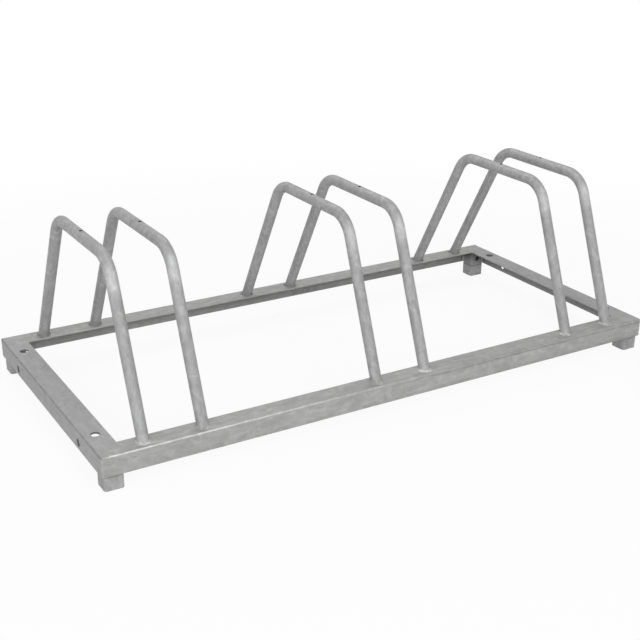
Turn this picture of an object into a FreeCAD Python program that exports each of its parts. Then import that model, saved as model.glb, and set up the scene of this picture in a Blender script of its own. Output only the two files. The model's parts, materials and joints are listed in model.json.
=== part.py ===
import FreeCAD, Part
import math
import os

# Floor bike rack for three bicycles, welded from steel and hot-dip galvanised.
# A rectangular frame of angle section, flange up and leg outside, stands on four short
# feet of square tube. Six bent tube hoops, in three pairs, take one front wheel each pair.
# Millimetres. X runs along the rack, -Y is its front and Z is up. The origin is on the
# ground at the middle of the footprint.

# Angle frame, measured over the outside
FRAME_LENGTH = 1000.0
FRAME_DEPTH = 475.0
FLANGE_WIDTH = 36.0
LEG_HEIGHT = 31.0
RAIL_THICKNESS = 3.0
HEEL_RADIUS = 2.5
ROOT_RADIUS = 3.0
TOE_RADIUS = 1.6
EDGE_RADIUS = 0.7
CORNER_RADIUS = 3.5

# Partial butt welds along the mitres, ground flush
MITRE_WELD_WIDTH = 5.0
MITRE_WELD_DEPTH = 1.8

# Feet of square tube, nested inside the frame's corners
FOOT_SIZE = 30.0
FOOT_WALL = 3.0
FOOT_CORNER_RADIUS = 5.0
FOOT_DROP = 23.5
FOOT_VENT_DIAMETER = 10.0
FOOT_VENT_BELOW_FLANGE = 15.5
FOOT_WELD_SIZE = 4.0
FOOT_WELD_LAP = 1.2
FOOT_WELD_CROWN = 1.0
FOOT_WELD_END_GAP = 1.5

# Bent tube hoops
PLACES = 3
PLACE_PITCH = 386.0
PAIR_SPACING = 91.0
TUBE_DIAMETER = 18.0
TUBE_WALL = 2.0
HOOP_RISE = 242.0
FRONT_LEAN = 93.5
REAR_LEAN = 135.5
BEND_RADIUS = 47.0
HOOP_VENT_DIAMETER = 6.0

# Fillet weld round each hoop leg
HOOP_WELD_SIZE = 3.2
HOOP_WELD_LIP = 0.6
HOOP_WELD_FULLNESS = 0.55

# Drilled holes in the frame
DRAIN_HOLE_DIAMETER = 8.0
GROUND_HOLE_DIAMETER = 14.0
GROUND_HOLE_FROM_END = 18.0
GROUND_HOLE_SPACING_Y = 332.0
JOIN_HOLE_DIAMETER = 12.0
JOIN_HOLE_BELOW_TOP = 19.5
JOIN_HOLE_SPACING_Y = 286.0

# Derived levels and places
HALF_LENGTH = FRAME_LENGTH / 2
HALF_DEPTH = FRAME_DEPTH / 2
FRAME_TOP = FOOT_DROP + LEG_HEIGHT
FLANGE_UNDERSIDE = FRAME_TOP - RAIL_THICKNESS
TUBE_RADIUS = TUBE_DIAMETER / 2
HOOP_FOOT_Y = HALF_DEPTH - FLANGE_WIDTH / 2
TOP_BAR_LEVEL = FRAME_TOP + HOOP_RISE

# How far a cutting shape runs past what it cuts, and the levels where frame cuts end
MARGIN = 10.0
CUT_BOTTOM = FOOT_DROP - MARGIN
CUT_TOP = FRAME_TOP + MARGIN

SIDES = {"left": -1, "right": 1}
ENDS = {"front": -1, "rear": 1}


def box_between(low, high):
    """Box from its lowest corner to its highest corner."""
    size = [b - a for a, b in zip(low, high)]
    return Part.makeBox(size[0], size[1], size[2], FreeCAD.Vector(*low))


def drill(start, direction, diameter, depth):
    """Round cutter that starts at a point and runs along direction."""
    return Part.makeCylinder(diameter / 2, depth, FreeCAD.Vector(*start), FreeCAD.Vector(*direction))


def corner_arc(before, corner, after, radius):
    """Start, middle and end of the arc that rounds a corner between two other points."""
    back = (before - corner).normalize()
    on = (after - corner).normalize()
    half_angle = back.getAngle(on) / 2
    trim = radius / math.tan(half_angle)
    to_middle = radius / math.sin(half_angle) - radius
    middle = corner + (back + on).normalize() * to_middle
    return corner + back * trim, middle, corner + on * trim


def rounded_outline(corners, place):
    """Closed wire through flat corners (u, v, radius), each rounded by its own arc.

    place turns a flat point (u, v) into a point in space.
    """
    points = [place(u, v) for u, v, radius in corners]
    arcs = []
    for i, corner in enumerate(points):
        following = points[(i + 1) % len(points)]
        arcs.append(corner_arc(points[i - 1], corner, following, corners[i][2]))
    edges = []
    for i, (start, middle, end) in enumerate(arcs):
        if corners[i][2] > 0:
            edges.append(Part.Arc(start, middle, end).toShape())
        next_start = arcs[(i + 1) % len(arcs)][0]
        edges.append(Part.LineSegment(end, next_start).toShape())
    return Part.Wire(edges)


def upright_prism(plan, low_z, high_z):
    """Prism over a plan of straight-sided points, between two levels."""
    points = [FreeCAD.Vector(p.x, p.y, low_z) for p in plan]
    return Part.Face(Part.makePolygon(points + points[:1])).extrude(
        FreeCAD.Vector(0, 0, high_z - low_z)
    )


# Angle section: u runs inwards from the outer face, v runs up to the flange's top
ANGLE_SECTION = [
    (0.0, -LEG_HEIGHT, EDGE_RADIUS),
    (0.0, 0.0, HEEL_RADIUS),
    (FLANGE_WIDTH, 0.0, EDGE_RADIUS),
    (FLANGE_WIDTH, -RAIL_THICKNESS, TOE_RADIUS),
    (RAIL_THICKNESS, -RAIL_THICKNESS, ROOT_RADIUS),
    (RAIL_THICKNESS, -LEG_HEIGHT, TOE_RADIUS),
]


def footprint_prism():
    """The frame's outer plan with its upright corners rounded, higher than the frame."""
    plan = [
        (-HALF_LENGTH, -HALF_DEPTH, CORNER_RADIUS),
        (HALF_LENGTH, -HALF_DEPTH, CORNER_RADIUS),
        (HALF_LENGTH, HALF_DEPTH, CORNER_RADIUS),
        (-HALF_LENGTH, HALF_DEPTH, CORNER_RADIUS),
    ]
    outline = rounded_outline(plan, lambda x, y: FreeCAD.Vector(x, y, CUT_BOTTOM))
    return Part.Face(outline).extrude(FreeCAD.Vector(0, 0, CUT_TOP - CUT_BOTTOM))


def mitre_wedge(corner_a, corner_b, inward):
    """Prism that keeps what lies between the mitre planes of two frame corners."""
    along = (corner_b - corner_a).normalize()
    reach = FLANGE_WIDTH + MARGIN
    plan = [
        corner_a - (along + inward) * MARGIN,
        corner_b + (along - inward) * MARGIN,
        corner_b - (along - inward) * reach,
        corner_a + (along + inward) * reach,
    ]
    return upright_prism(plan, CUT_BOTTOM, CUT_TOP)


def angle_rail(corner_a, corner_b, inward):
    """Angle bar between two outer corners of the frame, cut at 45 degrees at both ends."""

    def place(u, v):
        return corner_a + inward * u + FreeCAD.Vector(0, 0, FRAME_TOP + v)

    bar = Part.Face(rounded_outline(ANGLE_SECTION, place)).extrude(corner_b - corner_a)
    return bar.common(mitre_wedge(corner_a, corner_b, inward)).common(footprint_prism())


def hoop_positions():
    """X of every hoop, with the name of its place and side."""
    positions = {}
    for place in range(PLACES):
        middle = (place - (PLACES - 1) / 2) * PLACE_PITCH
        for side, sign in SIDES.items():
            positions[f"{place + 1}_{side}"] = middle + sign * PAIR_SPACING / 2
    return positions


def hoop_path(x, overrun):
    """Centre line of a hoop, run on past its feet by overrun in height."""
    front_foot = FreeCAD.Vector(x, -HOOP_FOOT_Y, FRAME_TOP)
    front_bend = FreeCAD.Vector(x, -HOOP_FOOT_Y + FRONT_LEAN, TOP_BAR_LEVEL)
    rear_bend = FreeCAD.Vector(x, HOOP_FOOT_Y - REAR_LEAN, TOP_BAR_LEVEL)
    rear_foot = FreeCAD.Vector(x, HOOP_FOOT_Y, FRAME_TOP)
    front_start = front_foot + (front_foot - front_bend) * (overrun / HOOP_RISE)
    rear_end = rear_foot + (rear_foot - rear_bend) * (overrun / HOOP_RISE)

    edges = []
    last = front_start
    for before, corner, after in (
        (front_foot, front_bend, rear_bend),
        (front_bend, rear_bend, rear_foot),
    ):
        arc_start, arc_middle, arc_end = corner_arc(before, corner, after, BEND_RADIUS)
        edges.append(Part.LineSegment(last, arc_start).toShape())
        edges.append(Part.Arc(arc_start, arc_middle, arc_end).toShape())
        last = arc_end
    edges.append(Part.LineSegment(last, rear_end).toShape())
    return Part.Wire(edges)


def pipe(path, radius):
    """Solid round bar along a smooth path."""
    start = path.Edges[0].firstVertex().Point
    direction = path.Edges[0].lastVertex().Point - start
    section = Part.Wire(Part.makeCircle(radius, start, direction))
    return path.makePipeShell([section], True, False)


def above_flange(shape):
    """What of a shape stands above the frame's top face."""
    reach = HALF_LENGTH + MARGIN
    low = (-reach, -reach, FRAME_TOP)
    high = (reach, reach, TOP_BAR_LEVEL + TUBE_DIAMETER)
    return shape.common(box_between(low, high))


def tube_hoop(x):
    """Outer bar and finished tube of one hoop, with its legs cut flat on the flanges."""
    overrun = TUBE_DIAMETER
    outer = above_flange(pipe(hoop_path(x, overrun), TUBE_RADIUS))
    inner = pipe(hoop_path(x, overrun + MARGIN), TUBE_RADIUS - TUBE_WALL)
    bar_middle_y = (FRONT_LEAN - REAR_LEAN) / 2
    vent = drill((x, bar_middle_y, TOP_BAR_LEVEL), (0, 0, 1), HOOP_VENT_DIAMETER, TUBE_DIAMETER)
    return outer, outer.cut(inner).cut(vent)


def ellipse_wire(x, y, z, half_x, half_y):
    """Flat ellipse at a level, longer along Y."""
    curve = Part.Ellipse(FreeCAD.Vector(x, y, z), half_y, half_x)
    curve.rotate(FreeCAD.Placement(FreeCAD.Vector(x, y, z), FreeCAD.Vector(0, 0, 1), 90))
    return Part.Wire(curve.toShape())


def hoop_weld(x, foot_y, lean, outer_tube):
    """Fillet weld round the foot of one leg, which leans by lean over the hoop's rise."""
    slope = lean / HOOP_RISE
    stretch = math.sqrt(1 + slope * slope)
    bulge = HOOP_WELD_SIZE * HOOP_WELD_FULLNESS
    rings = []
    for rise, width in ((0.0, HOOP_WELD_SIZE), (bulge, bulge), (HOOP_WELD_SIZE, HOOP_WELD_LIP)):
        half_x = TUBE_RADIUS + width
        half_y = TUBE_RADIUS * stretch + width
        rings.append(ellipse_wire(x, foot_y + slope * rise, FRAME_TOP + rise, half_x, half_y))
    return Part.makeLoft(rings, True).cut(outer_tube)


def foot_outline(size, radius, x_sign, y_sign, inset):
    """Plan of a square tube nested in a corner, inset from the tube's outside."""
    outer_x = x_sign * (HALF_LENGTH - RAIL_THICKNESS - inset)
    outer_y = y_sign * (HALF_DEPTH - RAIL_THICKNESS - inset)
    inner_x = outer_x - x_sign * size
    inner_y = outer_y - y_sign * size
    corners = [
        (outer_x, outer_y, radius),
        (inner_x, outer_y, radius),
        (inner_x, inner_y, radius),
        (outer_x, inner_y, radius),
    ]
    return rounded_outline(corners, lambda x, y: FreeCAD.Vector(x, y, 0))


def foot_bar(x_sign, y_sign):
    """Outer shape of a foot, from the ground to the flange's underside."""
    outline = foot_outline(FOOT_SIZE, FOOT_CORNER_RADIUS, x_sign, y_sign, 0.0)
    return Part.Face(outline).extrude(FreeCAD.Vector(0, 0, FLANGE_UNDERSIDE))


def foot_tube(x_sign, y_sign, rails):
    """Square tube foot, notched to clear the rails' root radii, with a vent hole."""
    bore_size = FOOT_SIZE - 2 * FOOT_WALL
    bore_radius = FOOT_CORNER_RADIUS - FOOT_WALL
    bore = Part.Face(foot_outline(bore_size, bore_radius, x_sign, y_sign, FOOT_WALL))
    tube = foot_bar(x_sign, y_sign).cut(bore.extrude(FreeCAD.Vector(0, 0, FLANGE_UNDERSIDE)))
    centre_x = x_sign * (HALF_LENGTH - RAIL_THICKNESS - FOOT_SIZE / 2)
    centre_y = y_sign * (HALF_DEPTH - RAIL_THICKNESS - FOOT_SIZE / 2)
    vent_start = (centre_x, centre_y, FLANGE_UNDERSIDE - FOOT_VENT_BELOW_FLANGE)
    vent = drill(vent_start, (0, -y_sign, 0), FOOT_VENT_DIAMETER, FOOT_SIZE)
    return tube.cut(vent).cut(rails)


def foot_weld(start, along, off, solids):
    """Upright fillet weld between a rail's leg and the rounded corner of a foot.

    start is where the foot's rounding leaves the leg, along runs on from there over the
    leg's inner face and off points away from that face. solids cut the weld to fit.
    """
    low_z = FOOT_DROP + TOE_RADIUS + FOOT_WELD_END_GAP
    high_z = FLANGE_UNDERSIDE - ROOT_RADIUS - FOOT_WELD_END_GAP
    base = FreeCAD.Vector(start.x, start.y, low_z)
    on_leg = base + along * (FOOT_CORNER_RADIUS + FOOT_WELD_SIZE)
    on_foot = base + along * FOOT_CORNER_RADIUS + off * (FOOT_CORNER_RADIUS + FOOT_WELD_LAP)
    crown = (on_leg + on_foot) * 0.5 + (along + off).normalize() * FOOT_WELD_CROWN
    outline = Part.Wire([
        Part.LineSegment(base, on_leg).toShape(),
        Part.Arc(on_leg, crown, on_foot).toShape(),
        Part.LineSegment(on_foot, base).toShape(),
    ])
    return Part.Face(outline).extrude(FreeCAD.Vector(0, 0, high_z - low_z)).cut(solids)


def mitre_groove(x_sign, y_sign):
    """Band along one mitre, from the frame's outside down to the weld's depth."""
    corner = FreeCAD.Vector(x_sign * HALF_LENGTH, y_sign * HALF_DEPTH, 0)
    inward = FreeCAD.Vector(-x_sign, -y_sign, 0).normalize()
    across = FreeCAD.Vector(0, 0, 1).cross(inward) * (MITRE_WELD_WIDTH / 2)
    start = corner - inward * MARGIN
    end = corner + inward * (FLANGE_WIDTH * math.sqrt(2) + MARGIN)
    plan = [start - across, end - across, end + across, start + across]
    core_x = HALF_LENGTH - MITRE_WELD_DEPTH
    core_y = HALF_DEPTH - MITRE_WELD_DEPTH
    core_low = (-core_x, -core_y, CUT_BOTTOM)
    core_high = (core_x, core_y, FRAME_TOP - MITRE_WELD_DEPTH)
    return upright_prism(plan, CUT_BOTTOM, CUT_TOP).cut(box_between(core_low, core_high))


def frame_rails():
    """The four mitred angle bars, before any hole or weld groove."""
    corner = {}
    for end, y_sign in ENDS.items():
        for side, x_sign in SIDES.items():
            corner[end, side] = FreeCAD.Vector(x_sign * HALF_LENGTH, y_sign * HALF_DEPTH, 0)
    rails = {}
    for end, y_sign in ENDS.items():
        inward = FreeCAD.Vector(0, -y_sign, 0)
        rails[f"{end}_rail"] = angle_rail(corner[end, "left"], corner[end, "right"], inward)
    for side, x_sign in SIDES.items():
        inward = FreeCAD.Vector(-x_sign, 0, 0)
        rails[f"{side}_end_rail"] = angle_rail(corner["front", side], corner["rear", side], inward)
    return rails


def drill_long_rail(rail, y_sign):
    """Drain holes through the flange, one under each hoop leg."""
    for x in hoop_positions().values():
        start = (x, y_sign * HOOP_FOOT_Y, FLANGE_UNDERSIDE - MARGIN)
        rail = rail.cut(drill(start, (0, 0, 1), DRAIN_HOLE_DIAMETER, 2 * MARGIN))
    return rail


def drill_end_rail(rail, x_sign):
    """Two holes down through the flange and two sideways through the leg."""
    for y_sign in ENDS.values():
        ground_x = x_sign * (HALF_LENGTH - GROUND_HOLE_FROM_END)
        ground_y = y_sign * GROUND_HOLE_SPACING_Y / 2
        start = (ground_x, ground_y, FLANGE_UNDERSIDE - MARGIN)
        rail = rail.cut(drill(start, (0, 0, 1), GROUND_HOLE_DIAMETER, 2 * MARGIN))
        join_y = y_sign * JOIN_HOLE_SPACING_Y / 2
        start = (x_sign * (HALF_LENGTH - MARGIN), join_y, FRAME_TOP - JOIN_HOLE_BELOW_TOP)
        rail = rail.cut(drill(start, (x_sign, 0, 0), JOIN_HOLE_DIAMETER, 2 * MARGIN))
    return rail


def build_frame(parts):
    """Rails with their holes, and the ground welds that close the mitres."""
    rails = frame_rails()
    bars = list(rails.values())
    whole = bars[0].fuse(bars[1:]).removeSplitter()
    grooves = []
    for end, y_sign in ENDS.items():
        for side, x_sign in SIDES.items():
            groove = mitre_groove(x_sign, y_sign)
            parts[f"mitre_weld_{end}_{side}"] = whole.common(groove)
            grooves.append(groove)
    for name in rails:
        for groove in grooves:
            rails[name] = rails[name].cut(groove)
    for end, y_sign in ENDS.items():
        parts[f"{end}_rail"] = drill_long_rail(rails[f"{end}_rail"], y_sign)
    for side, x_sign in SIDES.items():
        parts[f"{side}_end_rail"] = drill_end_rail(rails[f"{side}_end_rail"], x_sign)
    return whole


def build_feet(parts, frame):
    """Four feet, each held by two upright fillet welds to the rails' legs."""
    for end, y_sign in ENDS.items():
        for side, x_sign in SIDES.items():
            parts[f"foot_{end}_{side}"] = foot_tube(x_sign, y_sign, frame)
            solids = frame.fuse(foot_bar(x_sign, y_sign))
            leg_x = x_sign * (HALF_LENGTH - RAIL_THICKNESS)
            leg_y = y_sign * (HALF_DEPTH - RAIL_THICKNESS)
            straight = FOOT_SIZE - FOOT_CORNER_RADIUS
            inward_x = FreeCAD.Vector(-x_sign, 0, 0)
            inward_y = FreeCAD.Vector(0, -y_sign, 0)
            corner = FreeCAD.Vector(leg_x, leg_y, 0)
            parts[f"foot_weld_{end}_{side}_end_rail"] = foot_weld(
                corner + inward_y * straight, inward_y, inward_x, solids
            )
            parts[f"foot_weld_{end}_{side}_long_rail"] = foot_weld(
                corner + inward_x * straight, inward_x, inward_y, solids
            )


def build_hoops(parts):
    """Six hoops, each with a weld round both of its legs."""
    for name, x in hoop_positions().items():
        outer, tube = tube_hoop(x)
        parts[f"hoop_{name}"] = tube
        parts[f"hoop_weld_{name}_front"] = hoop_weld(x, -HOOP_FOOT_Y, FRONT_LEAN, outer)
        parts[f"hoop_weld_{name}_rear"] = hoop_weld(x, HOOP_FOOT_Y, -REAR_LEAN, outer)


def main():
    parts = {}
    frame = build_frame(parts)
    build_feet(parts, frame)
    build_hoops(parts)
    os.makedirs("parts", exist_ok=True)
    for name, shape in parts.items():
        shape.exportStep(f"parts/{name}.step")
        box = shape.BoundBox
        print(
            f"{name}: solids {len(shape.Solids)}, valid {shape.isValid()}, "
            f"volume {shape.Volume / 1000:.2f} cm3, "
            f"x {box.XMin:.1f} {box.XMax:.1f}, y {box.YMin:.1f} {box.YMax:.1f}, "
            f"z {box.ZMin:.1f} {box.ZMax:.1f}"
        )


main()
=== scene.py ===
import json
import math

import bmesh
import bpy
from mathutils import Matrix, Vector, noise


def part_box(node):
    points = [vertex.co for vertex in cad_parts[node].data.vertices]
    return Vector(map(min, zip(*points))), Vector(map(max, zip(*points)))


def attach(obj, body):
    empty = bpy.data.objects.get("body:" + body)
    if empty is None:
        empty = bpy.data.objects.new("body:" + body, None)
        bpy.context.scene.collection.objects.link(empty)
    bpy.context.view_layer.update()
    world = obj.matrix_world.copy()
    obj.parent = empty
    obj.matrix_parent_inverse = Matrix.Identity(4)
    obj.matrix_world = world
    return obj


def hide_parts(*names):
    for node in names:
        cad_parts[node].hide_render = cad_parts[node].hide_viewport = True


# Floor bike rack for three bicycles, welded from angle section and bent tube, then hot-dip
# galvanised in one piece. Metres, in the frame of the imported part: X along the rack, -Y front,
# Z up, origin on the ground at the middle of the footprint.

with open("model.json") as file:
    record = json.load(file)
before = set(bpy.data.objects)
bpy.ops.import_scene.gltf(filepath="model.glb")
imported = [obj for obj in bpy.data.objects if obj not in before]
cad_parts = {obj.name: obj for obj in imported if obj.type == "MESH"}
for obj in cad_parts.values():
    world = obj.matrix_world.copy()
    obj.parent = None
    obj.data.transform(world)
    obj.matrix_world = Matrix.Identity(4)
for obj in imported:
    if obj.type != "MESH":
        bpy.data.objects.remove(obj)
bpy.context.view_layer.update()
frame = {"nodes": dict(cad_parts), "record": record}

# ---------------------------------------------------------------------------------------------
# Frame rails: four mitred bars of hot-rolled steel angle, flange up and leg outside. Their zinc
# is dull grey, cloudy over a hand's width, smeared along each bar and faintly crystalline.
# ---------------------------------------------------------------------------------------------


def new_group(name, inputs, outputs):
    """Shader node group with named sockets, given as (name, socket type) or with a default."""
    tree = bpy.data.node_groups.new(name, "ShaderNodeTree")
    for label, kind, *default in inputs:
        socket = tree.interface.new_socket(label, in_out="INPUT", socket_type=kind)
        if default:
            socket.default_value = default[0]
    for label, kind in outputs:
        tree.interface.new_socket(label, in_out="OUTPUT", socket_type=kind)
    return tree, tree.nodes.new("NodeGroupInput").outputs, tree.nodes.new("NodeGroupOutput").inputs


def add_node(tree, kind, settings, inputs):
    """Adds a node, sets its properties, and links or sets its inputs by name or number."""
    made = tree.nodes.new(kind)
    for label, value in settings.items():
        setattr(made, label, value)
    for label, value in inputs.items():
        if isinstance(value, bpy.types.NodeSocket):
            tree.links.new(value, made.inputs[label])
        else:
            made.inputs[label].default_value = value
    return made.outputs


def place_group(tree, group, inputs):
    """Node that holds a group, with its inputs linked or set."""
    return add_node(tree, "ShaderNodeGroup", {"node_tree": group}, inputs)


def maths(tree, operation, *values):
    """Value of a sum or other operation on sockets and numbers."""
    return add_node(tree, "ShaderNodeMath", {"operation": operation}, dict(enumerate(values)))[0]


def product(tree, result, *others):
    """Value of sockets and numbers multiplied together."""
    for other in others:
        result = maths(tree, "MULTIPLY", result, other)
    return result


def scaled(tree, vector, scale):
    """Vector or colour with each of its parts multiplied by one value."""
    return add_node(
        tree, "ShaderNodeVectorMath", {"operation": "SCALE"}, {0: vector, "Scale": scale}
    )[0]


def remap(tree, value, between, to=(0.0, 1.0)):
    """Value moved smoothly from one range to another, and held at its ends."""
    return add_node(
        tree, "ShaderNodeMapRange", {"interpolation_type": "SMOOTHSTEP"},
        {"Value": value, "From Min": between[0], "From Max": between[1],
         "To Min": to[0], "To Max": to[1]},
    )["Result"]


def noise_value(tree, vector, scale, detail, roughness, distortion=0.0):
    """Cloudy value around 0.5. Its scale is how often it repeats in a metre."""
    return add_node(
        tree, "ShaderNodeTexNoise", {},
        {"Vector": vector, "Scale": scale, "Detail": detail, "Roughness": roughness,
         "Distortion": distortion},
    )["Fac"]


# Crystals that the zinc froze into: uneven cells, each with its own grey.
CRYSTAL_SIZE = 0.0075
CRYSTAL_UNEVENNESS = 0.0028

spangle_group, given, out = new_group(
    "zinc_spangle", [("Vector", "NodeSocketVector")], [("Tone", "NodeSocketFloat")]
)
wobble = add_node(
    spangle_group, "ShaderNodeTexNoise", {},
    {"Vector": given["Vector"], "Scale": 180.0, "Detail": 2.0, "Roughness": 0.6},
)["Color"]
bent = add_node(
    spangle_group, "ShaderNodeVectorMath", {"operation": "MULTIPLY_ADD"},
    {0: wobble, 1: (CRYSTAL_UNEVENNESS,) * 3, 2: given["Vector"]},
)[0]
crystal = add_node(
    spangle_group, "ShaderNodeTexVoronoi", {"feature": "F1"},
    {"Vector": bent, "Scale": 1.0 / CRYSTAL_SIZE},
)
grey = add_node(spangle_group, "ShaderNodeSeparateColor", {}, {"Color": crystal["Color"]})
spangle_group.links.new(grey["Red"], out["Tone"])

# Smears that the draining zinc left: long soft streaks with a finer, broken set over them.
FINE_SMEARS_PER_BROAD = 3.1

smear_group, given, out = new_group(
    "zinc_smears",
    [("Vector", "NodeSocketVector")],
    [("Broad", "NodeSocketFloat"), ("Fine", "NodeSocketFloat")],
)
broad = noise_value(
    smear_group, given["Vector"], scale=1.0, detail=3.0, roughness=0.55, distortion=1.6
)
fine = noise_value(
    smear_group, scaled(smear_group, given["Vector"], FINE_SMEARS_PER_BROAD),
    scale=1.0, detail=4.0, roughness=0.62, distortion=0.5,
)
smear_group.links.new(remap(smear_group, broad, (0.28, 0.72)), out["Broad"])
smear_group.links.new(remap(smear_group, fine, (0.3, 0.7)), out["Fine"])

# Small flaws of a dipped coat: dark pinholes, and pimples of dross that catch the light.
FLAW_SPACING = 0.011
FLAW_FADES = (0.04, 0.13)
SHARE_WITH_PINHOLE = 0.16
SHARE_WITH_PIMPLE = 0.2

flaw_group, given, out = new_group(
    "zinc_flaws",
    [("Vector", "NodeSocketVector")],
    [("Pinhole", "NodeSocketFloat"), ("Pimple", "NodeSocketFloat")],
)
cell = add_node(
    flaw_group, "ShaderNodeTexVoronoi", {"feature": "F1"},
    {"Vector": given["Vector"], "Scale": 1.0 / FLAW_SPACING},
)
lot = add_node(flaw_group, "ShaderNodeSeparateColor", {}, {"Color": cell["Color"]})["Red"]
spot = remap(flaw_group, cell["Distance"], FLAW_FADES, (1.0, 0.0))
has_pinhole = maths(flaw_group, "LESS_THAN", lot, SHARE_WITH_PINHOLE)
has_pimple = maths(flaw_group, "GREATER_THAN", lot, 1.0 - SHARE_WITH_PIMPLE)
flaw_group.links.new(product(flaw_group, spot, has_pinhole), out["Pinhole"])
flaw_group.links.new(product(flaw_group, spot, has_pimple), out["Pimple"])

# The whole coat: a grey that the clouds, smears, crystals and flaws make lighter or darker,
# with a roughness and a height to match.
CLOUD_GAIN = 3.0
FINE_SMEAR_SHARE = 0.6

coat_group, given, out = new_group(
    "zinc_coat",
    [
        ("Vector", "NodeSocketVector"),
        ("Smear Vector", "NodeSocketVector"),
        ("Colour", "NodeSocketColor", (0.4, 0.4, 0.4, 1.0)),
        ("Cloud", "NodeSocketFloat", 0.1),
        ("Smear", "NodeSocketFloat", 0.1),
        ("Spangle", "NodeSocketFloat", 0.05),
        ("Roughness", "NodeSocketFloat", 0.5),
    ],
    [("Colour", "NodeSocketColor"), ("Roughness", "NodeSocketFloat"), ("Height", "NodeSocketFloat")],
)
cloud = noise_value(
    coat_group, given["Vector"], scale=16.0, detail=4.0, roughness=0.6, distortion=0.6
)
grain = noise_value(coat_group, given["Vector"], scale=420.0, detail=4.0, roughness=0.7)
curl = noise_value(
    coat_group, given["Vector"], scale=34.0, detail=3.0, roughness=0.55, distortion=2.4
)
wisp = remap(coat_group, curl, (0.46, 0.7))
spangle = place_group(coat_group, spangle_group, {"Vector": given["Vector"]})["Tone"]
smears = place_group(coat_group, smear_group, {"Vector": given["Smear Vector"]})
flaws = place_group(coat_group, flaw_group, {"Vector": given["Vector"]})


def swung(result, *swings):
    """Value that others push up and down, given as (value, its middle, strength)."""
    for value, middle, strength in swings:
        swing = maths(coat_group, "SUBTRACT", value, middle)
        result = maths(coat_group, "MULTIPLY_ADD", swing, strength, result)
    return result


lightness = swung(
    1.0,
    (cloud, 0.5, product(coat_group, given["Cloud"], CLOUD_GAIN)),
    (smears["Broad"], 0.5, given["Smear"]),
    (smears["Fine"], 0.5, product(coat_group, given["Smear"], FINE_SMEAR_SHARE)),
    (wisp, 0.35, given["Smear"]),
    (spangle, 0.5, given["Spangle"]),
    (grain, 0.5, 0.22),
    (flaws["Pinhole"], 0.0, -0.42),
    (flaws["Pimple"], 0.0, 0.1),
)
rough = swung(
    given["Roughness"], (spangle, 0.5, 0.12), (cloud, 0.5, 0.25), (smears["Fine"], 0.5, -0.1)
)
height = swung(
    0.0,
    (cloud, 0.0, 0.6),
    (smears["Fine"], 0.0, 0.22),
    (grain, 0.0, 0.06),
    (spangle, 0.0, 0.02),
    (flaws["Pinhole"], 0.0, -0.2),
    (flaws["Pimple"], 0.0, 0.16),
)
coat_group.links.new(scaled(coat_group, given["Colour"], lightness), out["Colour"])
coat_group.links.new(rough, out["Roughness"])
coat_group.links.new(height, out["Height"])

# Painted light and shade that depend on the place. The group takes how much painted rail light,
# painted shade and painted hoop light its material gets, and gives a tone that the coat's colour is
# multiplied by.
RAIL_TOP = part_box("front_rail")[1].z
LEG_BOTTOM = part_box("front_rail")[0].z
HALF_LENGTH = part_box("right_end_rail")[1].x
HALF_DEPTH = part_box("rear_rail")[1].y

painted_light_group, given, out = new_group(
    "zinc_painted_light",
    [
        ("Vector", "NodeSocketVector"),
        ("Rubbed", "NodeSocketFloat", 0.0),
        ("Grimy", "NodeSocketFloat", 0.0),
        ("Sooty", "NodeSocketFloat", 0.0),
    ],
    [("Tone", "NodeSocketFloat")],
)
place = add_node(painted_light_group, "ShaderNodeSeparateXYZ", {}, {0: given["Vector"]})


def light_maths(operation, *values):
    """Sum or other operation in the painted light group."""
    return maths(painted_light_group, operation, *values)


def ramp(value, between, to=(0.0, 1.0)):
    """Value moved smoothly from one range to another in the painted light group."""
    return remap(painted_light_group, value, between, to)


def distance(*offsets):
    """How far a place is from where all the offsets are nought."""
    square = 0.0
    for offset in offsets:
        square = light_maths("MULTIPLY_ADD", offset, offset, square)
    return light_maths("SQRT", square)


def line_mask(across, across_at, up_at, fade):
    """One on a line that runs along a rail, fading to nought between two distances from it."""
    off_line = distance(light_maths("SUBTRACT", across, across_at), light_maths("SUBTRACT", place["Z"], up_at))
    return ramp(off_line, fade, (1.0, 0.0))


off_x = light_maths("ABSOLUTE", place["X"])
off_y = light_maths("ABSOLUTE", place["Y"])
patches = noise_value(painted_light_group, given["Vector"], scale=60.0, detail=3.0, roughness=0.6)
broken = ramp(patches, (0.3, 0.6), (0.55, 1.0))

# The long rails' heels carry a painted highlight at the left end, which turns to a little painted
# dark reflection to the right.
HEEL_INSET = 0.0007
HEEL_WIDTH = (0.0004, 0.0019)
HEEL_STARTS = (-0.496, -0.487)
HEEL_FADES = (-0.45, 0.2)

painted_heel_light = product(
    painted_light_group,
    line_mask(off_y, HALF_DEPTH - HEEL_INSET, RAIL_TOP - HEEL_INSET, HEEL_WIDTH),
    ramp(place["X"], HEEL_STARTS), ramp(place["X"], HEEL_FADES, (1.0, -0.3)), broken,
    given["Rubbed"],
)

# Below the heel a thin line of painted dark reflection begins near the middle of the rack, and
# painted shade darkens the lower rim of the leg towards the right.
DARK_LINE_DROP = 0.0047
DARK_LINE_WIDTH = (0.0005, 0.0024)
DARK_LINE_STARTS = (-0.15, 0.2)
RIM_FADES = (LEG_BOTTOM + 0.0005, LEG_BOTTOM + 0.0095)
RIM_DARKENS = (-0.4, 0.4)

painted_dark_line = product(
    painted_light_group,
    line_mask(off_y, HALF_DEPTH, RAIL_TOP - DARK_LINE_DROP, DARK_LINE_WIDTH),
    ramp(place["X"], DARK_LINE_STARTS), broken, given["Rubbed"],
)
painted_rim_shade = product(
    painted_light_group,
    ramp(place["Z"], RIM_FADES, (1.0, 0.0)), ramp(place["X"], RIM_DARKENS, (0.3, 1.0)),
    given["Rubbed"],
)
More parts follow.
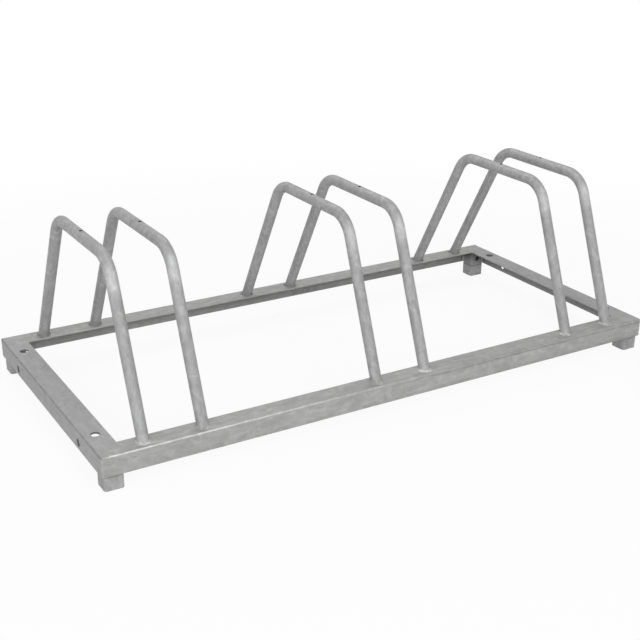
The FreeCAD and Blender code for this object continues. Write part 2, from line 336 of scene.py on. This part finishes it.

# A thin line of painted dark reflection runs along the end rails' heels, and painted shade sits
# on the walls of their holes.
SHADE_LINE_INSET = 0.0008
SHADE_LINE_DROP = 0.0015
SHADE_LINE_WIDTH = (0.0002, 0.0027)
HOLE_MARGIN = 0.0001
MM_PER_METRE = 1000.0
mounts = {mount["name"]: mount for mount in frame["record"]["mounts"]}
ground_bolts = mounts["ground_bolts"]["dims"]
join_bolts = mounts["join_holes_left"]["dims"]
join_level = mounts["join_holes_left"]["pos_m"][2]

painted_end_heel_shade = product(
    painted_light_group,
    line_mask(off_x, HALF_LENGTH - SHADE_LINE_INSET, RAIL_TOP - SHADE_LINE_DROP, SHADE_LINE_WIDTH),
    broken, given["Grimy"],
)
off_ground_bolt = distance(
    light_maths("SUBTRACT", off_x, ground_bolts["spacing_x_mm"] / 2 / MM_PER_METRE),
    light_maths("SUBTRACT", off_y, ground_bolts["spacing_y_mm"] / 2 / MM_PER_METRE),
)
off_join_bolt = distance(
    light_maths("SUBTRACT", off_y, join_bolts["spacing_x_mm"] / 2 / MM_PER_METRE),
    light_maths("SUBTRACT", place["Z"], join_level),
)
in_ground_hole = light_maths(
    "LESS_THAN", off_ground_bolt, ground_bolts["hole_r_mm"] / MM_PER_METRE + HOLE_MARGIN
)
in_join_hole = light_maths(
    "LESS_THAN", off_join_bolt, join_bolts["hole_r_mm"] / MM_PER_METRE + HOLE_MARGIN
)
holes = product(painted_light_group, light_maths("MAXIMUM", in_ground_hole, in_join_hole), given["Grimy"])

# Painted shade darkens the hoops in and under the vent of their top bars, and a painted highlight
# brightens their front bends. Both follow one input, which only the hoops have.
TUBE_RADIUS = 0.009
BORE_RADIUS = 0.0078
VENT_RADIUS = 0.0031
VENT_Y = -0.021
BORE_SHADE_REACH = 0.03
FRONT_BEND_Y = -0.150
FRONT_BEND_Z = 0.271
BEND_FADES = (0.006, 0.033)
BAR_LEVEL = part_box("hoop_1_left")[1].z - TUBE_RADIUS


def middle_x(name):
    """Where the middle of a piece lies along the rack."""
    low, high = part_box(name)
    return (low.x + high.x) / 2


PAIR_SPACING = middle_x("hoop_1_right") - middle_x("hoop_1_left")
PLACE_PITCH = middle_x("hoop_2_left") - middle_x("hoop_1_left")

off_place = light_maths("ABSOLUTE", light_maths("WRAP", place["X"], PLACE_PITCH / 2, -PLACE_PITCH / 2))
off_hoop = light_maths("SUBTRACT", off_place, PAIR_SPACING / 2)
off_vent = light_maths("SUBTRACT", place["Y"], VENT_Y)
near_vent = light_maths("LESS_THAN", light_maths("ABSOLUTE", off_vent), BORE_SHADE_REACH)
off_axis = distance(off_hoop, light_maths("SUBTRACT", place["Z"], BAR_LEVEL))
in_bore = product(painted_light_group, light_maths("LESS_THAN", off_axis, BORE_RADIUS), near_vent)
in_vent = light_maths("LESS_THAN", distance(off_hoop, off_vent), VENT_RADIUS)
painted_bore_shade = product(painted_light_group, light_maths("MAXIMUM", in_bore, in_vent), given["Sooty"])
off_bend = distance(
    off_hoop, light_maths("SUBTRACT", place["Y"], FRONT_BEND_Y), light_maths("SUBTRACT", place["Z"], FRONT_BEND_Z)
)
painted_bend_highlight = product(painted_light_group, ramp(off_bend, BEND_FADES, (1.0, 0.0)), given["Sooty"])

# A painted shadow lies on the feet just under the rails' legs. Painted shade darkens the hollow
# inside the angle on every material, most of all under the flange.
LIP_FADES = (LEG_BOTTOM - 0.005, LEG_BOTTOM - 0.0004)
LIP_ENDS = LEG_BOTTOM - 0.00005
INNER_FACE = 0.0028
MOUTH_FADES = (LEG_BOTTOM - 0.004, LEG_BOTTOM)
HOLLOW_FADES = (LEG_BOTTOM - 0.0015, RAIL_TOP - 0.0045)

painted_lip_shadow = product(
    painted_light_group, ramp(place["Z"], LIP_FADES), light_maths("LESS_THAN", place["Z"], LIP_ENDS),
    given["Grimy"],
)
inside = product(
    painted_light_group,
    light_maths("LESS_THAN", off_x, HALF_LENGTH - INNER_FACE),
    light_maths("LESS_THAN", off_y, HALF_DEPTH - INNER_FACE),
    light_maths("LESS_THAN", place["Z"], RAIL_TOP - INNER_FACE),
)
painted_mouth_shade = product(painted_light_group, inside, ramp(place["Z"], MOUTH_FADES))
hollow = product(painted_light_group, inside, ramp(place["Z"], HOLLOW_FADES))

# Each mask paints light or shade into the tone: highlights raise it, painted shade and dark reflections
# lower it.
painted_light_tone = 1.0
for mask, change in (
    (painted_heel_light, 0.7), (painted_dark_line, -0.28), (painted_rim_shade, -0.14), (painted_end_heel_shade, -0.36), (holes, -0.5),
    (painted_bore_shade, -0.85), (painted_bend_highlight, 0.35), (painted_lip_shadow, -0.38), (painted_mouth_shade, -0.15), (hollow, -0.48),
):
    painted_light_tone = light_maths("MULTIPLY_ADD", mask, change, painted_light_tone)
painted_light_group.links.new(painted_light_tone, out["Tone"])


def zinc_steel(name, colour, smears_per_metre, cloud, smear, spangle, roughness, relief,
               painted_rail_light=0.0, painted_shade=0.0, painted_hoop_light=0.0):
    """Galvanised steel. smears_per_metre is how often its smears repeat along X, Y and Z, and
    relief the height of its unevenness in metres."""
    material = bpy.data.materials.new(name)
    material.use_nodes = True
    tree = material.node_tree
    shader = tree.nodes["Principled BSDF"]
    shader.inputs["Metallic"].default_value = 0.2
    shader.inputs["Specular IOR Level"].default_value = 0.2
    shader.inputs["Specular Tint"].default_value = (0.7, 0.7, 0.7, 1.0)
    place = add_node(tree, "ShaderNodeTexCoord", {}, {})["Object"]
    smear_place = add_node(
        tree, "ShaderNodeMapping", {}, {"Vector": place, "Scale": smears_per_metre}
    )["Vector"]
    coat = place_group(tree, coat_group, {
        "Vector": place, "Smear Vector": smear_place, "Colour": (*colour, 1.0),
        "Cloud": cloud, "Smear": smear, "Spangle": spangle, "Roughness": roughness,
    })
    # Painted light and shade from the place, multiplied into the coat's colour.
    tone = place_group(
        tree, painted_light_group, {"Vector": place, "Rubbed": painted_rail_light, "Grimy": painted_shade, "Sooty": painted_hoop_light}
    )["Tone"]
    bump = add_node(
        tree, "ShaderNodeBump", {}, {"Height": coat["Height"], "Strength": 1.0, "Distance": relief}
    )["Normal"]
    tree.links.new(scaled(tree, coat["Colour"], tone), shader.inputs["Base Color"])
    tree.links.new(coat["Roughness"], shader.inputs["Roughness"])
    tree.links.new(bump, shader.inputs["Normal"])
    return material


def finish_node(name, material):
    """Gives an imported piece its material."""
    piece = frame["nodes"][name]
    piece.data.materials.clear()
    piece.data.materials.append(material)


# The long rails take the painted heel highlight, the painted dark line under it and painted rim shade.
zinc_along_x = zinc_steel(
    "zinc_long_rail", colour=(0.435, 0.435, 0.43), smears_per_metre=(16.0, 55.0, 62.0),
    cloud=0.10, smear=0.15, spangle=0.05, roughness=0.5, relief=0.0006, painted_rail_light=1.0,
)
# The end rails take a painted dark line along their heels and painted shade in their holes.
zinc_along_y = zinc_steel(
    "zinc_end_rail", colour=(0.42, 0.425, 0.42), smears_per_metre=(50.0, 16.0, 62.0),
    cloud=0.08, smear=0.10, spangle=0.05, roughness=0.5, relief=0.0006, painted_shade=1.0,
)
for end in ("front", "rear"):
    finish_node(f"{end}_rail", zinc_along_x)
for side in ("left", "right"):
    finish_node(f"{side}_end_rail", zinc_along_y)

# ---------------------------------------------------------------------------------------------
# Mitre welds: butt welds in the four corner joints, ground flush before galvanising, so only
# a slightly plainer band of zinc shows where they are.
# ---------------------------------------------------------------------------------------------
# The mitre welds take part of the end rails' painted dark line.
zinc_ground = zinc_steel(
    "zinc_mitre_weld", colour=(0.425, 0.425, 0.42), smears_per_metre=(50.0, 50.0, 60.0),
    cloud=0.10, smear=0.10, spangle=0.04, roughness=0.48, relief=0.0004, painted_shade=0.6,
)
for end in ("front", "rear"):
    for side in ("left", "right"):
        finish_node(f"mitre_weld_{end}_{side}", zinc_ground)

# ---------------------------------------------------------------------------------------------
# Feet: four short lengths of square tube, open below, nested in the corners of the frame. Zinc
# stays thicker and blotchier on them, where it drained last.
# ---------------------------------------------------------------------------------------------
# The feet take the painted shadow under the rails' legs.
zinc_foot = zinc_steel(
    "zinc_foot", colour=(0.41, 0.415, 0.41), smears_per_metre=(60.0, 60.0, 45.0),
    cloud=0.16, smear=0.2, spangle=0.05, roughness=0.5, relief=0.0008, painted_shade=1.0,
)
for end in ("front", "rear"):
    for side in ("left", "right"):
        finish_node(f"foot_{end}_{side}", zinc_foot)

# ---------------------------------------------------------------------------------------------
# Foot welds: an upright fillet bead on each of the two rails' legs holds a foot in its corner.
# Each bead is laid by hand in one short pass and keeps its ripples under the zinc.
# ---------------------------------------------------------------------------------------------
BEAD_RIPPLE_PITCH = 0.0019
LUMP_GAIN = 1.6
FOOT_BEAD_SIDES = 28
FOOT_BEAD_RINGS = 44
FOOT_BEAD_FILL = 0.96
FOOT_BEAD_END = 0.45
FOOT_BEAD_END_POWER = 6
FOOT_BEAD_RIPPLE = 0.05
FOOT_BEAD_LUMP = 0.10
FOOT_BEAD_LUMP_SIZE = 0.004
FOOT_BEAD_SEED_STEP = 1.7

zinc_weld = zinc_steel(
    "zinc_weld_bead", colour=(0.41, 0.41, 0.405), smears_per_metre=(120.0, 120.0, 120.0),
    cloud=0.12, smear=0.12, spangle=0.03, roughness=0.42, relief=0.0004,
)


def lumps(place, seed, size):
    """Uneven swelling of a hand-laid bead, about -1 to 1, over lumps of a given size."""
    return noise.noise(place / size + Vector((seed, 3.0 * seed, -seed))) * LUMP_GAIN


def ripples(length, phase=0.0):
    """Even waves of a hand-laid bead, -1 to 1, at a length along it."""
    return math.cos(length / BEAD_RIPPLE_PITCH * 2 * math.pi + phase)


def new_piece(name, mesh_tools, material):
    """Turns a bmesh into a smooth piece that rides with the rack."""
    mesh = bpy.data.meshes.new(name)
    bmesh.ops.recalc_face_normals(mesh_tools, faces=mesh_tools.faces)
    mesh_tools.to_mesh(mesh)
    mesh_tools.free()
    mesh.shade_smooth()
    mesh.materials.append(material)
    piece = bpy.data.objects.new(name, mesh)
    bpy.context.scene.collection.objects.link(piece)
    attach(piece, "root")
    return piece


def upright_bead(name, seed):
    """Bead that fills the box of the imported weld, round in plan and narrower at its ends."""
    low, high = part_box(name)
    middle = (low + high) / 2
    span = high - low
    bead = bmesh.new()
    bmesh.ops.create_cone(
        bead, cap_ends=True, cap_tris=False, segments=FOOT_BEAD_SIDES,
        radius1=0.5, radius2=0.5, depth=1.0,
    )
    upright = [e for e in bead.edges if abs(e.verts[0].co.z - e.verts[1].co.z) > 0.5]
    bmesh.ops.subdivide_edges(bead, edges=upright, cuts=FOOT_BEAD_RINGS, use_grid_fill=True)
    for vertex in bead.verts:
        from_middle = min(1.0, abs(vertex.co.z * 2.0))
        taper = (1.0 - from_middle ** FOOT_BEAD_END_POWER) ** 0.5 * (1.0 - FOOT_BEAD_END) + FOOT_BEAD_END
        width = taper * FOOT_BEAD_FILL
        vertex.co = middle + Vector((
            vertex.co.x * span.x * width, vertex.co.y * span.y * width, vertex.co.z * span.z
        ))
        outward = Vector((vertex.co.x - middle.x, vertex.co.y - middle.y, 0.0))
        swell = FOOT_BEAD_RIPPLE * ripples(vertex.co.z)
        swell += FOOT_BEAD_LUMP * lumps(vertex.co, seed, FOOT_BEAD_LUMP_SIZE)
        vertex.co += outward * swell
    piece = new_piece(f"{name}_bead", bead, zinc_weld)
    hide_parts(name)


seed = 1.0
for end in ("front", "rear"):
    for side in ("left", "right"):
        for rail in ("end_rail", "long_rail"):
            upright_bead(f"foot_weld_{end}_{side}_{rail}", seed)
            seed += FOOT_BEAD_SEED_STEP

# ---------------------------------------------------------------------------------------------
# Hoops: six lengths of round steel tube, bent twice, in pairs that hold a front wheel between
# them. Zinc ran along the tube and left it brighter and darker in long blotches.
# ---------------------------------------------------------------------------------------------
HOOPS = [f"{place}_{side}" for place in (1, 2, 3) for side in ("left", "right")]

# The hoops take painted shade in their vents and a painted highlight on their front bends.
zinc_tube = zinc_steel(
    "zinc_hoop", colour=(0.405, 0.41, 0.405), smears_per_metre=(90.0, 50.0, 30.0),
    cloud=0.12, smear=0.18, spangle=0.05, roughness=0.42, relief=0.0005, painted_hoop_light=1.0,
)
for hoop in HOOPS:
    finish_node(f"hoop_{hoop}", zinc_tube)

# ---------------------------------------------------------------------------------------------
# Hoop welds: a slightly hollow fillet bead runs once round the foot of every leg, on top of the
# flange. The front ones are a lighter grey as a painted highlight, the rear ones a darker grey as
# painted shade.
# ---------------------------------------------------------------------------------------------
FRONT_LEG_LEAN = 0.386
REAR_LEG_LEAN = -0.56
HOOP_BEAD_SIZE = 0.00275
HOOP_BEAD_SINK = 0.0003
HOOP_BEAD_HOLLOW = 2.2
HOOP_BEAD_ARC_STEPS = 12
HOOP_BEAD_TURN_STEPS = 110
HOOP_BEAD_RIPPLE = 0.03
HOOP_BEAD_RIPPLE_RADIUS = TUBE_RADIUS * 1.3
HOOP_BEAD_RIPPLE_BOW = 1.2
HOOP_BEAD_LUMP = 0.09
HOOP_BEAD_LUMP_SIZE = 0.0045
HOOP_BEAD_LUMP_RADIUS = 0.012
HOOP_BEAD_SEED_STEP = 2.3
REAR_BEAD_SEED_SHIFT = 0.9

# Lit and shaded copies of one zinc: a painted highlight on the front collars, painted shade on the rear
# ones.
zinc_collar_painted_lit = zinc_steel(
    "zinc_collar_painted_lit", colour=(0.51, 0.51, 0.505), smears_per_metre=(120.0, 120.0, 120.0),
    cloud=0.3, smear=0.4, spangle=0.03, roughness=0.36, relief=0.0004,
)
zinc_collar_painted_shade = zinc_steel(
    "zinc_collar_painted_shade", colour=(0.24, 0.245, 0.24), smears_per_metre=(120.0, 120.0, 120.0),
    cloud=0.12, smear=0.12, spangle=0.03, roughness=0.45, relief=0.0004,
)


def collar_profile():
    """Points (out from the tube, up from the flange) round a hollow fillet, sunk into both."""
    points = [(-HOOP_BEAD_SINK, -HOOP_BEAD_SINK), (HOOP_BEAD_SIZE, -HOOP_BEAD_SINK)]
    for step in range(HOOP_BEAD_ARC_STEPS + 1):
        rise = math.pi / 2 * step / HOOP_BEAD_ARC_STEPS
        points.append((
            HOOP_BEAD_SIZE * max(0.0, math.cos(rise)) ** HOOP_BEAD_HOLLOW,
            HOOP_BEAD_SIZE * math.sin(rise) ** HOOP_BEAD_HOLLOW,
        ))
    points.append((-HOOP_BEAD_SINK, HOOP_BEAD_SIZE))
    return points


def collar_bead(name, seed, lean, material):
    """Fillet bead round a leg that leans by lean along Y for each metre of rise."""
    low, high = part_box(name)
    foot = Vector(((low.x + high.x) / 2, (low.y + high.y) / 2, RAIL_TOP))
    oval = math.sqrt(1 + lean * lean)
    bead = bmesh.new()
    corners = [bead.verts.new((TUBE_RADIUS + across, 0.0, up)) for across, up in collar_profile()]
    for first, second in zip(corners, corners[1:] + corners[:1]):
        bead.edges.new((first, second))
    bmesh.ops.spin(
        bead, geom=bead.verts[:] + bead.edges[:], cent=(0, 0, 0), axis=(0, 0, 1),
        steps=HOOP_BEAD_TURN_STEPS, angle=2 * math.pi, use_merge=True,
    )
    for vertex in bead.verts:
        flat = Vector((vertex.co.x, vertex.co.y, 0.0))
        outward = flat.normalized()
        off_corner = vertex.co - outward * TUBE_RADIUS
        if off_corner.length > HOOP_BEAD_SINK * 2:
            turn = math.atan2(vertex.co.y, vertex.co.x)
            rise = math.atan2(vertex.co.z, flat.length - TUBE_RADIUS)
            bow = HOOP_BEAD_RIPPLE_BOW * math.cos(2 * rise)
            lump_place = outward * HOOP_BEAD_LUMP_RADIUS
            swell = HOOP_BEAD_RIPPLE * ripples(turn * HOOP_BEAD_RIPPLE_RADIUS, phase=bow)
            swell += HOOP_BEAD_LUMP * lumps(lump_place, seed, HOOP_BEAD_LUMP_SIZE)
            vertex.co += off_corner * swell
        vertex.co.y = vertex.co.y * oval + lean * vertex.co.z
        vertex.co += foot
    piece = new_piece(f"{name}_bead", bead, material)
    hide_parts(name)


for hoop in HOOPS:
    collar_bead(f"hoop_weld_{hoop}_front", seed, FRONT_LEG_LEAN, zinc_collar_painted_lit)
    collar_bead(
        f"hoop_weld_{hoop}_rear", seed + REAR_BEAD_SEED_SHIFT, REAR_LEG_LEAN, zinc_collar_painted_shade
    )
    seed += HOOP_BEAD_SEED_STEP

# ---------------------------------------------------------------------------------------------
# Floor: a plain white studio sweep. It carries the rack's soft shadow near the rack and fades
# into the white surroundings further out. From below it is clear, so the underside shows.
# ---------------------------------------------------------------------------------------------
FLOOR_HALF = 30.0
FLOOR_FADES = (0.7, 1.6)
WHITE_SHARE = (0.92, 1.0)
SEEN_GREY = 0.95
LIT_GREY = 0.55


def seen_directly(tree):
    """One for rays from the camera, a sheen or a clear surface, nought for those that light."""
    rays = add_node(tree, "ShaderNodeLightPath", {}, {})
    seen = rays["Is Camera Ray"]
    for kind in ("Is Glossy Ray", "Is Transmission Ray"):
        seen = maths(tree, "MAXIMUM", seen, rays[kind])
    return seen


def mixed(tree, share, first, second):
    """The first shader, with a share of the second in its place."""
    return add_node(tree, "ShaderNodeMixShader", {}, {0: share, 1: first, 2: second})[0]


def matt_paint(tree, grey):
    """Plain diffuse paint."""
    return add_node(tree, "ShaderNodeBsdfDiffuse", {}, {"Color": (grey, grey, grey, 1.0)})["BSDF"]


floor_tools = bmesh.new()
bmesh.ops.create_grid(floor_tools, x_segments=1, y_segments=1, size=FLOOR_HALF)
floor_mesh = bpy.data.meshes.new("studio_floor")
floor_tools.to_mesh(floor_mesh)
floor_tools.free()
floor = bpy.data.objects.new("studio_floor", floor_mesh)
bpy.context.scene.collection.objects.link(floor)

floor_material = bpy.data.materials.new("studio_floor")
floor_material.use_nodes = True
tree = floor_material.node_tree
tree.nodes.clear()
floor_place = add_node(tree, "ShaderNodeTexCoord", {}, {})["Object"]
from_rack = add_node(
    tree, "ShaderNodeVectorMath", {"operation": "LENGTH"}, {0: floor_place}
)["Value"]
whiteness = remap(tree, from_rack, FLOOR_FADES, WHITE_SHARE)
glow = add_node(tree, "ShaderNodeEmission", {}, {"Strength": 1.0})["Emission"]
shown = mixed(tree, whiteness, matt_paint(tree, SEEN_GREY), glow)
surface = mixed(tree, seen_directly(tree), matt_paint(tree, LIT_GREY), shown)
below = add_node(tree, "ShaderNodeNewGeometry", {}, {})["Backfacing"]
clear = add_node(tree, "ShaderNodeBsdfTransparent", {}, {})["BSDF"]
add_node(tree, "ShaderNodeOutputMaterial", {}, {"Surface": mixed(tree, below, surface, clear)})
floor_mesh.materials.append(floor_material)

# ---------------------------------------------------------------------------------------------
# Surroundings and lamps: white all round. The key softbox stands in front of the rack, a second
# and a fill towards its left end, a small one above its front and a broad one above its rear.
# ---------------------------------------------------------------------------------------------
RACK_MIDDLE = (0.0, 0.0, 0.15)
AMBIENT_STRENGTH = 0.29

world = bpy.data.worlds.new("studio")
bpy.context.scene.world = world
world.use_nodes = True
tree = world.node_tree
tree.nodes.clear()


def white_background(strength):
    """Even white light from all round."""
    return add_node(
        tree, "ShaderNodeBackground", {}, {"Color": (1.0, 1.0, 1.0, 1.0), "Strength": strength}
    )[0]


surroundings = mixed(
    tree, seen_directly(tree), white_background(AMBIENT_STRENGTH), white_background(1.0)
)
add_node(tree, "ShaderNodeOutputWorld", {}, {"Surface": surroundings})


def softbox(name, place, target, width, height, watts, mirrored=True):
    """Rectangular lamp that faces a point. One that isn't mirrored gives no sheen of its own."""
    lamp = bpy.data.lights.new(name, "AREA")
    lamp.shape = "RECTANGLE"
    lamp.size = width
    lamp.size_y = height
    lamp.energy = watts
    holder = bpy.data.objects.new(name, lamp)
    bpy.context.scene.collection.objects.link(holder)
    holder.location = place
    holder.rotation_euler = (Vector(target) - Vector(place)).to_track_quat("-Z", "Y").to_euler()
    holder.visible_glossy = mirrored


softbox("key_softbox", place=(-0.65, -3.1, 1.0), target=RACK_MIDDLE,
        width=1.2, height=1.2, watts=36.0, mirrored=False)
softbox("side_softbox", place=(-1.9, -2.3, 1.5), target=RACK_MIDDLE,
        width=1.4, height=1.2, watts=19.0, mirrored=False)
softbox("left_softbox", place=(-2.8, -0.6, 1.2), target=RACK_MIDDLE,
        width=1.6, height=1.2, watts=15.0, mirrored=False)
softbox("top_softbox", place=(0.1, -1.7, 2.3), target=(0.0, -0.2, 0.15),
        width=0.8, height=0.8, watts=9.0)
softbox("rear_softbox", place=(0.3, 1.6, 2.2), target=(0.0, 0.0, 0.1),
        width=2.2, height=1.2, watts=14.0)

# ---------------------------------------------------------------------------------------------
# Camera: stands in front of the rack's left end and looks down on it.
# ---------------------------------------------------------------------------------------------
CAMERA_PLACE = (-0.9313, -1.5419, 0.8109)
CAMERA_YAW = math.radians(30.661)
CAMERA_PITCH = math.radians(22.358)
CAMERA_ROLL = math.radians(0.311)
SENSOR_WIDTH_MM = 36.0
FOCAL_LENGTH_MM = 63.84

lens = bpy.data.cameras.new("camera")
lens.sensor_width = SENSOR_WIDTH_MM
lens.lens = FOCAL_LENGTH_MM
lens.clip_start = 0.05
lens.clip_end = 100.0
camera = bpy.data.objects.new("camera", lens)
bpy.context.scene.collection.objects.link(camera)
camera.matrix_world = (
    Matrix.Translation(CAMERA_PLACE)
    @ Matrix.Rotation(-CAMERA_YAW, 4, "Z")
    @ Matrix.Rotation(math.pi / 2 - CAMERA_PITCH, 4, "X")
    @ Matrix.Rotation(CAMERA_ROLL, 4, "Z")
)
bpy.context.scene.camera = camera
bpy.context.scene.view_settings.view_transform = "Standard"
